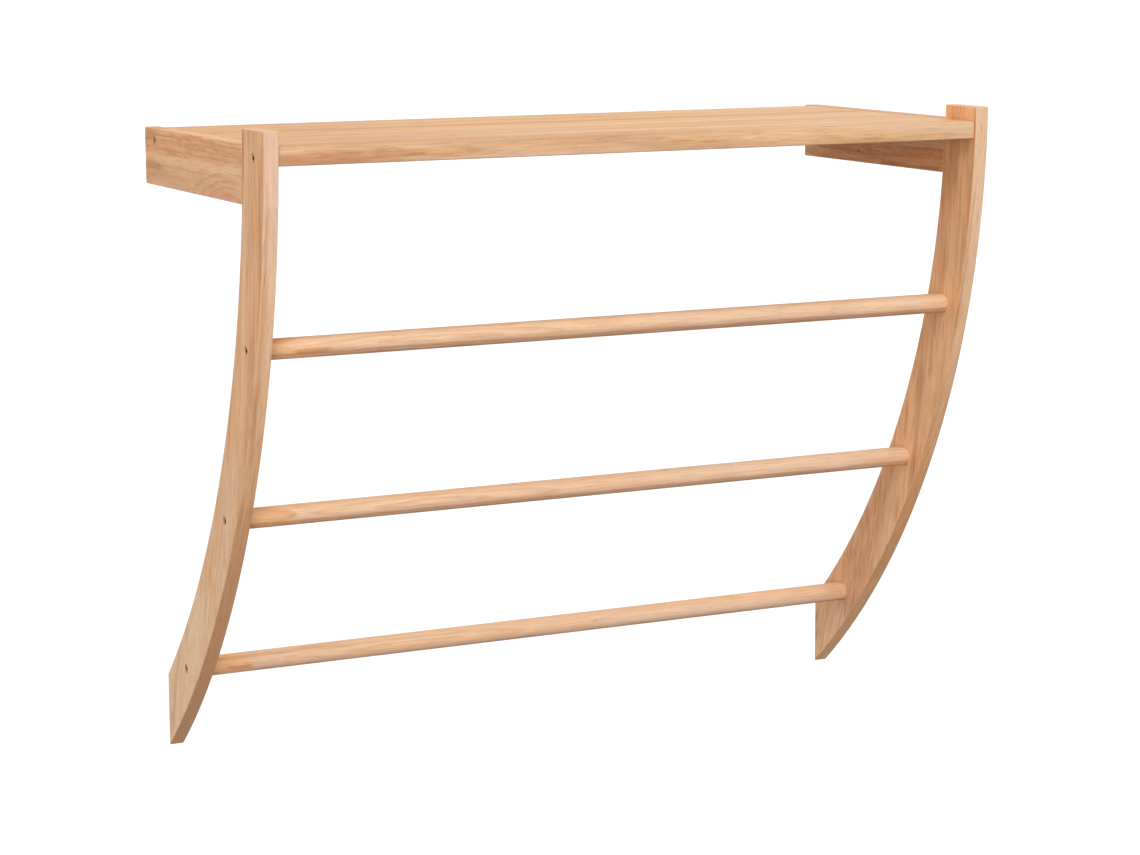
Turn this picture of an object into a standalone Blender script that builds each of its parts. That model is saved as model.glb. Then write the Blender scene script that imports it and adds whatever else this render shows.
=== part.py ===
"""Wall-mounted towel rack of solid hardwood.

A shelf board sits between two side arms. The arms butt against two curved posts, and three round
bars run between the posts. Left and right are as seen from the front. X runs along the rack,
Y runs into the wall and Z runs up. The origin lies on the wall, midway between the two arms'
back ends and at half their height. All lengths are in metres.
"""
from math import acos, asin, cos, pi, radians, sin, sqrt

import bmesh
import bpy

# Overall sizes
rack_width = 0.700
rack_depth = 0.300
board_thickness = 0.0135

# Posts: a ring segment whose front edge is an arc that stands upright near the top
post_width = 0.050
post_arc_radius = 0.765
arc_centre_above_arm = 0.0231
post_top_above_arm = 0.0124
foot_gap_to_wall = 0.0273
post_edge_round = 0.0010

# Arms
arm_height = 0.0505
arm_edge_round = 0.0010

# Shelf
shelf_thickness = 0.016
shelf_below_arm_top = 0.0005
shelf_gap_to_wall = 0.0085
shelf_behind_post_front = 0.0030
shelf_edge_round = 0.0016

# Towel bars, evenly spaced between the lowest and the highest one
bar_names = ("bottom_bar", "middle_bar", "top_bar")
bar_diameter = 0.018
bar_end_chamfer = 0.0008
bar_socket_depth = 0.0040
top_bar_below_arm_top = 0.1716
bottom_bar_above_foot = 0.0829

# Screws with a countersunk head and a hexagon socket, all of one size
screw_length = 0.040
screw_head_diameter = 0.0076
screw_head_height = 0.0022
screw_rim_height = 0.0003
screw_shank_diameter = 0.0040
screw_tip_length = 0.0050
screw_tip_share = 0.25
screw_below_face = 0.0008
screw_socket_across_flats = 0.0040
screw_socket_depth = 0.0020
shelf_screw_below_arm_top = 0.0105
rear_screw_from_wall = 0.0255
pilot_hole_spare_depth = 0.0010

# Dowels between each arm and its post
dowel_diameter = 0.0060
dowel_length = 0.0300
dowel_chamfer = 0.0008
dowel_to_arm_edge = 0.01325

# Blind bore in each arm's back end, for a stud that stands out of the wall
hanging_bore_diameter = 0.0080
hanging_bore_depth = 0.0500

# Fits and cuts
fit_clearance = 0.0003
cut_overrun = 0.0020

# Facets
post_arc_steps = 40
arm_end_steps = 4
bar_sides = 40
small_sides = 24
edge_round_steps = 2
edge_round_from_angle = radians(30)

# Finishes: colour, roughness, metallic
pale_wood = ((0.66, 0.41, 0.25), 0.55, 0.0)
bar_wood = ((0.68, 0.42, 0.27), 0.50, 0.0)
dowel_wood = ((0.70, 0.52, 0.34), 0.70, 0.0)
screw_steel = ((0.20, 0.13, 0.08), 0.40, 0.8)

# Places that follow from the sizes above
arm_top = arm_height / 2
arm_bottom = arm_top - arm_height
post_top = arm_top + post_top_above_arm
arc_centre_y = post_arc_radius - rack_depth
arc_centre_z = arm_top + arc_centre_above_arm
post_back_radius = post_arc_radius - post_width
post_middle_radius = post_arc_radius - post_width / 2
foot_face_y = -foot_gap_to_wall
inner_face_x = rack_width / 2 - board_thickness
shelf_top = arm_top - shelf_below_arm_top
shelf_screw_z = arm_top - shelf_screw_below_arm_top


def clear_scene():
    for old in list(bpy.data.objects):
        bpy.data.objects.remove(old, do_unlink=True)


def arc_y(radius, z):
    """Y of a circle about the posts' arc centre, at height z, on its front side."""
    return arc_centre_y - sqrt(radius ** 2 - (arc_centre_z - z) ** 2)


def arc_z(radius, y):
    """Height of the same circle at y, below the arc centre."""
    return arc_centre_z - sqrt(radius ** 2 - (arc_centre_y - y) ** 2)


def arc_points(radius, z_from, z_to, steps):
    """Points (y, z) along that circle between two heights, at equal turns."""
    start = asin((arc_centre_z - z_from) / radius)
    end = asin((arc_centre_z - z_to) / radius)
    turns = [start + (end - start) * i / steps for i in range(steps + 1)]
    return [(arc_centre_y - radius * cos(a), arc_centre_z - radius * sin(a)) for a in turns]


foot_tip = arc_z(post_arc_radius, foot_face_y)
foot_face_top = arc_z(post_back_radius, foot_face_y)


def bar_places():
    """Name, y and z of each bar's axis, which lies on the posts' middle line."""
    lowest = foot_tip + bottom_bar_above_foot
    highest = arm_top - top_bar_below_arm_top
    last = len(bar_names) - 1
    places = []
    for i, name in enumerate(bar_names):
        z = lowest + (highest - lowest) * i / last
        places.append((name, arc_y(post_middle_radius, z), z))
    return places


def shelf_screw_places():
    """Name, y and z of the two screws that hold one end of the shelf."""
    front_y = arc_y(post_middle_radius, shelf_screw_z)
    return [("front", front_y, shelf_screw_z), ("rear", -rear_screw_from_wall, shelf_screw_z)]


def dowel_heights():
    return [("upper", arm_top - dowel_to_arm_edge), ("lower", arm_bottom + dowel_to_arm_edge)]


def wood_or_metal(name, finish):
    colour, roughness, metallic = finish
    material = bpy.data.materials.new(name)
    material.use_nodes = True
    shader = material.node_tree.nodes["Principled BSDF"]
    shader.inputs["Base Color"].default_value = (*colour, 1.0)
    shader.inputs["Roughness"].default_value = roughness
    shader.inputs["Metallic"].default_value = metallic
    material.diffuse_color = (*colour, 1.0)
    return material


def add_object(name, mesh_builder, finish):
    """Turn a bmesh into a named object with outward faces and a finish of its own."""
    bmesh.ops.recalc_face_normals(mesh_builder, faces=mesh_builder.faces)
    mesh = bpy.data.meshes.new(name)
    mesh_builder.to_mesh(mesh)
    mesh_builder.free()
    mesh.shade_smooth()
    mesh.set_sharp_from_angle(angle=edge_round_from_angle)
    piece = bpy.data.objects.new(name, mesh)
    bpy.context.collection.objects.link(piece)
    piece.data.materials.append(wood_or_metal(name, finish))
    return piece


def sawn_board(name, outline, x_from, x_to, edge_round, stays_square):
    """A board cut to an outline of (y, z) points, with its edges eased but where it butts."""
    built = bmesh.new()
    corners = [built.verts.new((x_from, y, z)) for y, z in outline]
    face = built.faces.new(corners)
    grown = bmesh.ops.extrude_face_region(built, geom=[face])
    moved = [v for v in grown["geom"] if isinstance(v, bmesh.types.BMVert)]
    bmesh.ops.translate(built, verts=moved, vec=(x_to - x_from, 0, 0))
    roundness = built.edges.layers.float.new("bevel_weight_edge")
    for edge in built.edges:
        is_corner = edge.calc_face_angle() > edge_round_from_angle
        near, far = (corner.co for corner in edge.verts)
        edge[roundness] = 1.0 if is_corner and not stays_square(near, far) else 0.0
    board = add_object(name, built, pale_wood)
    easing = board.modifiers.new("eased edges", "BEVEL")
    easing.width = edge_round
    easing.segments = edge_round_steps
    easing.limit_method = "WEIGHT"
    return board


def round_ring(radius, sides):
    return [(radius * cos(2 * pi * i / sides), radius * sin(2 * pi * i / sides)) for i in range(sides)]


def hexagon_ring(across_flats, sides):
    """A hexagon with the ring's number of points, shared out along its six flats."""
    flat = 2 * pi / 6
    ring = []
    for i in range(sides):
        turn = 2 * pi * i / sides
        off_middle = (turn + flat / 2) % flat - flat / 2
        reach = across_flats / 2 / cos(off_middle)
        ring.append((reach * cos(turn), reach * sin(turn)))
    return ring


def add_ring_body(built, stations, place):
    """Skin a row of (distance, ring) stations, with its first and last ring closed by a face."""
    rings = [[built.verts.new(place(distance, a, b)) for a, b in ring] for distance, ring in stations]
    for near, far in zip(rings, rings[1:]):
        for i in range(len(near)):
            built.faces.new((near[i - 1], near[i], far[i], far[i - 1]))
    built.faces.new(rings[0])
    built.faces.new(rings[-1])


def inward(side, y, z):
    """Places a turned shape on an axis along X, measured inward from that side's outer face."""
    return lambda distance, a, b: (side * (rack_width / 2 - distance), y + a, z + b)


def along_y(x, y, z):
    """Places a turned shape on an axis along Y, measured from y towards the front."""
    return lambda distance, a, b: (x + a, y - distance, z + b)


def turned(stations, sides):
    return [(distance, round_ring(radius, sides)) for distance, radius in stations]


def hidden_cutter(name, bodies):
    """One wire object that holds several closed cutting bodies, each clear of the others."""
    built = bmesh.new()
    for stations, place in bodies:
        add_ring_body(built, stations, place)
    cutter = add_object(name, built, screw_steel)
    cutter.hide_render = True
    cutter.display_type = "WIRE"
    return cutter


def cut(piece, bodies):
    drilled = piece.modifiers.new("drilled", "BOOLEAN")
    drilled.operation = "DIFFERENCE"
    drilled.solver = "EXACT"
    drilled.object = hidden_cutter(piece.name + "_cutter", bodies)


# Where a screw's parts lie, measured inward from the outer face
head_start = screw_below_face
head_end = head_start + screw_head_height
screw_end = head_start + screw_length
shank_hole_radius = screw_shank_diameter / 2 + fit_clearance
head_hole_radius = screw_head_diameter / 2 + fit_clearance
cone_hole_start = head_start + screw_rim_height + fit_clearance
cone_hole_end = head_end + fit_clearance
socket_floor = board_thickness - bar_socket_depth
pilot_end = screw_end + pilot_hole_spare_depth


def screw_hole(last_station):
    """The recess, cone and shank hole for one screw, through a board to last_station."""
    return [
        (-cut_overrun, head_hole_radius),
        (cone_hole_start, head_hole_radius),
        (cone_hole_end, shank_hole_radius),
        (last_station, shank_hole_radius),
    ]


def shelf_screw_hole():
    return turned(screw_hole(board_thickness + cut_overrun), small_sides)


def bar_hole():
    """A screw hole that opens into the round socket of a bar on the inner face."""
    socket_radius = bar_diameter / 2 + fit_clearance
    socket = [(socket_floor, socket_radius), (board_thickness + cut_overrun, socket_radius)]
    return turned(screw_hole(socket_floor) + socket, bar_sides)


def dowel_hole(depth_before, depth_after):
    radius = dowel_diameter / 2 + fit_clearance
    return turned([(-depth_before, radius), (depth_after, radius)], small_sides)


def side_middle_x(side):
    return side * (rack_width / 2 - board_thickness / 2)


def arm_end_y(z):
    """Where an arm's front end meets the post's back edge, at height z."""
    return arc_y(post_back_radius - fit_clearance, z)


def make_post(side, side_name):
    """A curved board with no butt end, since the arm and the shelf meet its faces."""
    front = arc_points(post_arc_radius, post_top, foot_tip, post_arc_steps)
    back = arc_points(post_back_radius, foot_face_top, post_top, post_arc_steps)
    post = sawn_board(
        side_name + "_post", front + back, side * rack_width / 2, side * inner_face_x, post_edge_round,
        lambda near, far: False)
    bodies = [(bar_hole(), inward(side, y, z)) for _, y, z in bar_places()]
    _, y, z = shelf_screw_places()[0]
    bodies.append((shelf_screw_hole(), inward(side, y, z)))
    for _, height in dowel_heights():
        hole = dowel_hole(cut_overrun, dowel_length / 2 + fit_clearance)
        bodies.append((hole, along_y(side_middle_x(side), arc_y(post_back_radius, height), height)))
    cut(post, bodies)


def make_arm(side, side_name):
    """A straight board whose front end is cut to the post's curve and stays square there."""
    front_end = arc_points(post_back_radius - fit_clearance, arm_top, arm_bottom, arm_end_steps)
    end_reach = max(y for y, z in front_end) + fit_clearance
    outline = front_end + [(0, arm_bottom), (0, arm_top)]
    arm = sawn_board(
        side_name + "_arm", outline, side * rack_width / 2, side * inner_face_x, arm_edge_round,
        lambda near, far: near.y < end_reach and far.y < end_reach)
    _, y, z = shelf_screw_places()[1]
    bodies = [(shelf_screw_hole(), inward(side, y, z))]
    for _, height in dowel_heights():
        hole = dowel_hole(dowel_length / 2 + fit_clearance, cut_overrun)
        bodies.append((hole, along_y(side_middle_x(side), arm_end_y(height), height)))
    bore_radius = hanging_bore_diameter / 2
    bore = turned([(-cut_overrun, bore_radius), (hanging_bore_depth, bore_radius)], small_sides)
    bodies.append((bore, along_y(side_middle_x(side), 0, 0)))
    cut(arm, bodies)


def make_shelf():
    """A plain board whose two ends butt against the arms and posts, so only its long edges are eased."""
    front = shelf_behind_post_front - rack_depth
    back = -shelf_gap_to_wall
    bottom = shelf_top - shelf_thickness
    outline = [(front, shelf_top), (front, bottom), (back, bottom), (back, shelf_top)]
    end_x = inner_face_x - fit_clearance
    shelf = sawn_board("shelf", outline, -end_x, end_x, shelf_edge_round, lambda near, far: near.x == far.x)
    pilot_start = board_thickness + fit_clearance - cut_overrun
    pilot = turned([(pilot_start, shank_hole_radius), (pilot_end, shank_hole_radius)], small_sides)
    bodies = [(pilot, inward(side, y, z)) for side in (-1, 1) for _, y, z in shelf_screw_places()]
    cut(shelf, bodies)


def make_bar(name, y, z):
    """A round bar with a pilot hole in each end, turned as one profile from hole to hole."""
    end = socket_floor + fit_clearance
    radius = bar_diameter / 2
    half = [
        (pilot_end, shank_hole_radius),
        (end, shank_hole_radius),
        (end, radius - bar_end_chamfer),
        (end + bar_end_chamfer, radius),
    ]
    other_half = [(rack_width - distance, size) for distance, size in reversed(half)]
    built = bmesh.new()
    add_ring_body(built, turned(half + other_half, bar_sides), inward(-1, y, z))
    add_object(name, built, bar_wood)


def make_screw(name, side, y, z):
    head_radius = screw_head_diameter / 2
    shank_radius = screw_shank_diameter / 2
    socket = hexagon_ring(screw_socket_across_flats, small_sides)
    stations = [(head_start + screw_socket_depth, socket), (head_start, socket)]
    stations += turned([
        (head_start, head_radius),
        (head_start + screw_rim_height, head_radius),
        (head_end, shank_radius),
        (screw_end - screw_tip_length, shank_radius),
        (screw_end, shank_radius * screw_tip_share),
    ], small_sides)
    built = bmesh.new()
    add_ring_body(built, stations, inward(side, y, z))
    add_object(name, built, screw_steel)


def make_dowel(name, side, z):
    radius = dowel_diameter / 2
    half = dowel_length / 2
    stations = turned([
        (-half, radius - dowel_chamfer),
        (-half + dowel_chamfer, radius),
        (half - dowel_chamfer, radius),
        (half, radius - dowel_chamfer),
    ], small_sides)
    joint_y = arc_y(post_back_radius - fit_clearance / 2, z)
    built = bmesh.new()
    add_ring_body(built, stations, along_y(side_middle_x(side), joint_y, z))
    add_object(name, built, dowel_wood)


def make_side(side, side_name):
    make_post(side, side_name)
    make_arm(side, side_name)
    for height_name, z in dowel_heights():
        make_dowel(side_name + "_arm_dowel_" + height_name, side, z)
    for place_name, y, z in shelf_screw_places():
        make_screw(side_name + "_shelf_screw_" + place_name, side, y, z)
    for bar_name, y, z in bar_places():
        make_screw(side_name + "_" + bar_name + "_screw", side, y, z)


def build():
    clear_scene()
    make_shelf()
    for name, y, z in bar_places():
        make_bar(name, y, z)
    make_side(-1, "left")
    make_side(1, "right")


build()
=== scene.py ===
from math import pi, radians

import bmesh
import bpy
from bpy.props import FloatProperty, FloatVectorProperty, PointerProperty
from bpy.types import Operator, Panel, PropertyGroup
from mathutils import Euler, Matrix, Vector


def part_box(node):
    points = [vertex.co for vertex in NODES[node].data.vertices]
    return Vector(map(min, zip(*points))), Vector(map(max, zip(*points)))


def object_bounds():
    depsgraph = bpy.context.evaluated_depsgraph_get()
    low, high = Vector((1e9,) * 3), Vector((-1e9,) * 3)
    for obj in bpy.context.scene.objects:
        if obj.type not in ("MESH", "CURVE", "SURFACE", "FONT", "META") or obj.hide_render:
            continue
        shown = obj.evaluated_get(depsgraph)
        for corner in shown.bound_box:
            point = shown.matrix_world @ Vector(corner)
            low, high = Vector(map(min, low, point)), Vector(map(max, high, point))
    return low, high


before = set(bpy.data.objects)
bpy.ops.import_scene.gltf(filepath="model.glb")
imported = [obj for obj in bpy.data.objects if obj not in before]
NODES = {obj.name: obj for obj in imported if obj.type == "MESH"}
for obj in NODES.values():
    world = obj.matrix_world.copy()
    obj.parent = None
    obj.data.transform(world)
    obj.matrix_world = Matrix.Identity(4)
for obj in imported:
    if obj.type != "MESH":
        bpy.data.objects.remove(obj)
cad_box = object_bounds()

bl_info = {
    "name": "Wooden Towel Rack",
    "version": (1, 0, 0),
    "blender": (4, 5, 0),
    "location": "3D View > Sidebar > Towel Rack",
    "description": "Finishes the boards, bars and screws of a wall-mounted towel rack and sets its stage",
    "category": "Object",
}

SIDES = ("left", "right")
BARS = ("bottom_bar", "middle_bar", "top_bar")

# Order in which a piece's own axes are read: along its grain, through a board's thickness, across its width
POST_GRAIN = (2, 0, 1)
ARM_GRAIN = (1, 0, 2)
SHELF_GRAIN = (0, 2, 1)
BAR_GRAIN = (0, 1, 2)

# How strongly a wood material lays each layer over the ones before, between which shades its fibres vary,
# and how much closer the pores stand in late wood
WEAKEST_RING = 0.35
STRONGEST_RING = 0.85
BROWN_PATCH = 0.30
PALE_PATCH = 0.30
ARCH_GROUND = 0.6
FIBRE_SHADES = (0.89, 1.11)
END_GRAIN = 0.40
PORE = 0.32
WORN_EDGE_AND_HIGHLIGHT = 0.25
PORES_IN_LATE_WOOD = 0.5

# From where to where a face counts as broad, as end grain, and as too steep to the grain for fibres and
# pores: 0 for a face that runs along the axis in question, 1 for a face square to it
BROAD_RANGE = (0.5, 0.8)
END_GRAIN_RANGE = (0.12, 0.80)
STEEP_RANGE = (0.60, 0.95)

# Part of the fine fibres' range that flecked streaks keep as dashes
DASH_RANGE = (0.50, 0.80)

# Numbers of the oiled surface: changes of roughness in the hollows and on the crests of the fibres, depth of
# a pore against a fibre's height, strength of both in the light, and strength of the surface's reflections
ROUGHNESS_CHANGE = (0.08, -0.05)
PORE_DEPTH = 1.5
WOOD_BUMP = 0.6
WOOD_SPECULAR = 0.22

# A strand is a bundle of fibres, so many times their length and width
STRAND_LENGTH = 3.5
STRAND_WIDTH = 2.8

# Changes that keep the lines from looking drawn: of the rings' spacing, in rings, of an arch's outline, in
# its own size, and the length over which a streak's sides wave
RING_CHANGE = 2.2
ARCH_CHANGE = 0.25
STREAK_WAVE = 0.055

# Width of a board's figure on its edges, as a share of the width on its broad faces
EDGE_FIGURE = 0.04

# Corners of a solid closer than this are one corner, and edges sharper than this angle stay sharp
SAME_PLACE = 0.00001
SHARP_ANGLE = radians(35)

# From the part's middle to the middle of a post or an arm, and from the wall to the middle of the shelf
POST_CENTRE = 0.3433
SHELF_CENTRE = 0.1500

# Half widths that cover a whole face, or a bar apart from its top and underside, and the half length of a
# streak that runs from end to end
WHOLE_EDGE = 0.0300
WHOLE_ARM = 0.0600
WHOLE_SHELF = 0.2500
WHOLE_BAR = 0.0200
MOST_OF_BAR = 0.0120
END_TO_END = 0.500

# Where the lamps stand, seen from the rack's middle, how far the camera sees, and the floor's mesh
KEY_DIRECTION = Vector((-0.90, -1.00, 1.08))
FILL_DIRECTION = Vector((-0.515, -0.857, -0.05))
CAMERA_REACH = 200.0
FLOOR_SQUARES = 8
WHITE = (1.0, 1.0, 1.0, 1.0)


def colour_setting(name, description, default):
    return FloatVectorProperty(
        name=name, description=description, default=default, subtype="COLOR", size=3, min=0.0, max=1.0)


def length_setting(name, description, default):
    return FloatProperty(
        name=name, description=description, default=default, unit="LENGTH", min=0.0, precision=5)


def share_setting(name, description, default):
    return FloatProperty(
        name=name, description=description, default=default, min=0.0, max=1.0, subtype="FACTOR")


def angle_setting(name, description, default):
    return FloatProperty(
        name=name, description=description, default=default, unit="ROTATION", subtype="ANGLE")


def power_setting(name, description, default):
    return FloatProperty(name=name, description=description, default=default, min=0.0, unit="POWER")


class RackWoodSettings(PropertyGroup):
    """Colours and grain of the satin oiled hardwood"""

    pale: colour_setting("Early wood", "Palest wood, between the growth rings", (0.84, 0.502, 0.270))
    tan: colour_setting("Late wood", "Darker wood of the growth rings", (0.61, 0.285, 0.115))
    amber_pale: colour_setting(
        "Amber early wood", "Palest wood of the more orange boards", (0.90, 0.505, 0.252))
    amber_tan: colour_setting(
        "Amber late wood", "Darker wood of the more orange boards", (0.60, 0.255, 0.096))
    brown: colour_setting("Brown streaks", "Orange-brown streaks and patches", (0.50, 0.190, 0.068))
    # Also laid on board edges and eased edges, partly as paler wood and partly as painted sheen and highlight
    sapwood: colour_setting(
        "Sapwood", "Pale, slightly pink wood of front edges and rubbed corners", (0.78, 0.545, 0.370))
    shelf_pale: colour_setting("Shelf's early wood", "Palest wood of the shelf", (0.82, 0.492, 0.222))
    shelf_tan: colour_setting("Shelf's late wood", "Darker wood of the shelf", (0.64, 0.295, 0.112))
    bar_pale: colour_setting(
        "Bars' early wood", "Palest wood of the towel bars and of pale bands", (0.90, 0.625, 0.420))
    bar_tan: colour_setting("Bars' late wood", "Darker wood of the towel bars", (0.86, 0.475, 0.250))
    # On the bars' left ends this bright orange is partly the wood's colour and partly painted light where the
    # left post shades them
    orange: colour_setting(
        "Orange", "Bright orange wood of the bars' ends and of a few bands", (0.96, 0.550, 0.280))
    blush: colour_setting("Blush", "Soft orange-red spots and bands", (0.78, 0.330, 0.135))
    rose: colour_setting("Rose wood", "Dull pink tint of a few broad bands", (0.72, 0.455, 0.300))
    honey: colour_setting("Honey", "Warm tint of the shelf's top", (0.82, 0.440, 0.155))
    petal: colour_setting(
        "Petal", "Pinkish tint of the bars' lower side and of short pale bands", (0.86, 0.575, 0.435))
    straw: colour_setting(
        "Straw", "Pale yellowish wood of the left arm and low on the left post", (0.80, 0.575, 0.355))
    pore: colour_setting("Pores", "Short dark lines of the open pores", (0.36, 0.155, 0.06))
    knot: colour_setting("Knot", "Dark heart of a pin knot", (0.12, 0.045, 0.015))
    end_grain: colour_setting("End grain", "Wood cut across its fibres", (0.72, 0.41, 0.21))
    fibre_width: length_setting("Fibre width", "Width of the finest visible fibres", 0.0009)
    fibre_length: length_setting("Fibre length", "Length of the finest visible fibres", 0.030)
    fleck_width: length_setting("Fleck width", "Width of the short dark dashes", 0.0014)
    fleck_length: length_setting("Fleck length", "Length of the short dark dashes", 0.028)
    patch_width: length_setting("Patch width", "Width of the broad changes of tone", 0.022)
    patch_length: length_setting("Patch length", "Length of the broad changes of tone", 0.090)
    pore_width: length_setting("Pore width", "Width of one open pore", 0.0009)
    pore_length: length_setting("Pore length", "Length of one open pore", 0.0140)
    relief: length_setting("Relief", "Depth of the fibres and pores under a fingertip", 0.00008)
    # The paler line on each eased edge is partly rubbed wear and partly a painted highlight
    worn_edge: length_setting("Worn edge", "Width of the rubbed, paler line on each eased edge", 0.0012)
    gloss_roughness: share_setting("Roughness", "Roughness of the oiled surface", 0.50)


class RackSteelSettings(PropertyGroup):
    """Colour and wear of the screws, and the shade painted into their sockets"""

    steel: colour_setting("Steel", "Dark bronzed steel", (0.46, 0.27, 0.10))
    rubbed: colour_setting("Rubbed steel", "Steel where a driver has rubbed the finish", (0.72, 0.48, 0.22))
    spot: colour_setting("Spots", "Darker spots in the finish", (0.16, 0.09, 0.035))
    spot_size: length_setting("Spot size", "Size of the spots in the finish", 0.0009)
    # Painted shade: the dark colour laid inside each screw's socket, and how far below the wood's face it
    # starts
    grime: colour_setting("Grime", "Dark finish left in a screw's socket", (0.060, 0.026, 0.008))
    painted_shade_depth: length_setting("Grime depth", "How far below the wood's face the grime starts", 0.0011)
    worn_edge: length_setting("Worn edge", "Width of the rubbed line on each edge of a screw", 0.0003)
    relief: length_setting("Relief", "Depth of the spots in the finish", 0.00003)
    metal: share_setting("Metal", "How much the finish shines as bare metal does", 0.6)
    smoothest: share_setting("Smoothest", "Roughness where the finish is smoothest", 0.42)
    roughest: share_setting("Roughest", "Roughness where the finish is roughest", 0.60)


class RackStageSettings(PropertyGroup):
    """Camera, lamps and floor"""

    camera_place: FloatVectorProperty(
        name="Camera place", description="Where the camera stands", default=(-1.183, -2.522, 0.191),
        subtype="TRANSLATION", unit="LENGTH", size=3)
    camera_turn: angle_setting("Camera turn", "Turn to the right of the wall's normal", radians(26.487))
    camera_tilt: angle_setting("Camera tilt", "How far the camera looks down", radians(8.608))
    camera_roll: angle_setting("Camera roll", "Turn about the view's own axis", radians(-0.225))
    camera_lens: FloatProperty(
        name="Camera lens", description="Focal length in millimetres on a 36 mm frame", default=92.74,
        min=1.0, subtype="DISTANCE_CAMERA")
    camera_shift: FloatProperty(
        name="Camera shift", description="Upward shift as a share of the picture's width", default=-0.04)
    floor_drop: length_setting("Floor drop", "How far the floor lies below the posts' tips", 0.50)
    floor_reach: length_setting("Floor reach", "From the floor's middle to its sides", 60.0)
    floor_colour: colour_setting(
        "Floor colour", "Colour that the floor throws on the rack", (0.10, 0.07, 0.05))
    floor_grey: share_setting("Floor grey", "Grey of the floor as the camera sees it, under its glow", 0.20)
    floor_glow: share_setting("Floor glow", "Strength of the floor's white glow in the picture", 0.93)
    lamp_distance: length_setting("Lamp distance", "From the rack's middle to each lamp", 5.0)
    key_power: power_setting("Key power", "Power of the lamp above the front left", 36.0)
    key_size: length_setting("Key size", "Side of the square key lamp", 2.00)
    fill_power: power_setting("Fill power", "Power of the soft lamp at the front left", 150.0)
    fill_size: length_setting("Fill size", "Side of the square fill lamp", 3.0)
    sky_strength: FloatProperty(
        name="Sky strength", description="Strength of the even light from all around", default=0.94, min=0.0)


def put(tree, kind, inputs=None, **properties):
    """Add a node, set its properties, and give each named input its value or the socket that feeds it."""
    node = tree.nodes.new(kind)
    for name, value in properties.items():
        setattr(node, name, value)
    for name, value in (inputs or {}).items():
        if isinstance(value, bpy.types.NodeSocket):
            tree.links.new(value, node.inputs[name])
        else:
            node.inputs[name].default_value = value
    return node


def reckon(tree, operation, *values):
    """A Math node's result for the given values or sockets."""
    return put(tree, "ShaderNodeMath", dict(enumerate(values)), operation=operation).outputs[0]


def reckon_vector(tree, operation, *values):
    """A Vector Math node's result for the given values or sockets."""
    return put(tree, "ShaderNodeVectorMath", dict(enumerate(values)), operation=operation).outputs[0]


def remap(tree, value, low, high, to_low=0.0, to_high=1.0, smooth=False):
    """A value's range stretched to another one and clamped to it."""
    curve = "SMOOTHSTEP" if smooth else "LINEAR"
    inputs = {"Value": value, "From Min": low, "From Max": high, "To Min": to_low, "To Max": to_high}
    return put(tree, "ShaderNodeMapRange", inputs, interpolation_type=curve).outputs[0]


def blend(tree, share, first, second, mode="MIX"):
    """One colour laid over another by a share."""
    node = put(tree, "ShaderNodeMix", data_type="RGBA", blend_type=mode, clamp_factor=True)
    for socket_name, value in (("Factor_Float", share), ("A_Color", first), ("B_Color", second)):
        socket = next(s for s in node.inputs if s.identifier == socket_name)
        if isinstance(value, bpy.types.NodeSocket):
            tree.links.new(value, socket)
        else:
            socket.default_value = value if socket_name == "Factor_Float" else (*value[:3], 1.0)
    return next(s for s in node.outputs if s.identifier == "Result_Color")


def new_group(name, inputs, outputs):
    """A shader node group with named sockets, given as (name, kind, default) and (name, kind)."""
    tree = bpy.data.node_groups.new(name, "ShaderNodeTree")
    for socket_name, kind, default in inputs:
        socket = tree.interface.new_socket(socket_name, in_out="INPUT", socket_type="NodeSocket" + kind)
        if default is not None:
            socket.default_value = default
    for socket_name, kind in outputs:
        tree.interface.new_socket(socket_name, in_out="OUTPUT", socket_type="NodeSocket" + kind)
    entry = tree.nodes.new("NodeGroupInput")
    result = tree.nodes.new("NodeGroupOutput")
    return tree, entry.outputs, result


def give(tree, result, name, socket):
    """Feed one of a group's outputs."""
    tree.links.new(socket, result.inputs[name])


def stretched(tree, vector, length, width):
    """Grain coordinates divided by a length along the grain and a width across it."""
    along = reckon(tree, "DIVIDE", 1.0, length)
    across = reckon(tree, "DIVIDE", 1.0, width)
    scale = put(tree, "ShaderNodeCombineXYZ", {"X": along, "Y": across, "Z": across}).outputs[0]
    return reckon_vector(tree, "MULTIPLY", vector, scale)


def noise(tree, place, detail, roughness=0.5, distortion=0.0):
    """Outputs of a noise whose spots are about one unit across."""
    return put(tree, "ShaderNodeTexNoise", {
        "Vector": place, "Scale": 1.0, "Detail": detail, "Roughness": roughness,
        "Distortion": distortion}).outputs


def noise_along(tree, place, scale):
    """A noise along one line."""
    return put(tree, "ShaderNodeTexNoise", {"W": place, "Scale": scale, "Detail": 1.0},
               noise_dimensions="1D").outputs[0]


def drift(tree, place, detail):
    """A noise in each of three directions, about nought."""
    return reckon_vector(tree, "SUBTRACT", noise(tree, place, detail)["Color"], (0.5, 0.5, 0.5))


def length_of(tree, vector):
    """A vector's length."""
    return put(tree, "ShaderNodeVectorMath", {0: vector}, operation="LENGTH").outputs["Value"]


def late_lines(tree, turns, steepness, crest):
    """One line for each turn, which darkens slowly up to its crest and then ends sharply."""
    turn = reckon(tree, "FRACT", turns)
    rise = reckon(tree, "POWER", turn, steepness)
    fall = remap(tree, turn, crest, 1.0, 1.0, 0.0, smooth=True)
    return reckon(tree, "MULTIPLY", rise, fall)


def spots(tree, value, share, sparse, dense, softness):
    """1 where a noise is over a limit, which moves from sparse to dense as the share grows."""
    limit = remap(tree, share, 0.0, 1.0, sparse, dense)
    return remap(tree, value, limit, reckon(tree, "ADD", limit, softness), smooth=True)


def reaches_off(tree, place, centre, reach):
    """How far a place lies from a centre, counted in reaches."""
    return reckon(tree, "DIVIDE", reckon(tree, "SUBTRACT", place, centre), reach)


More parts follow.
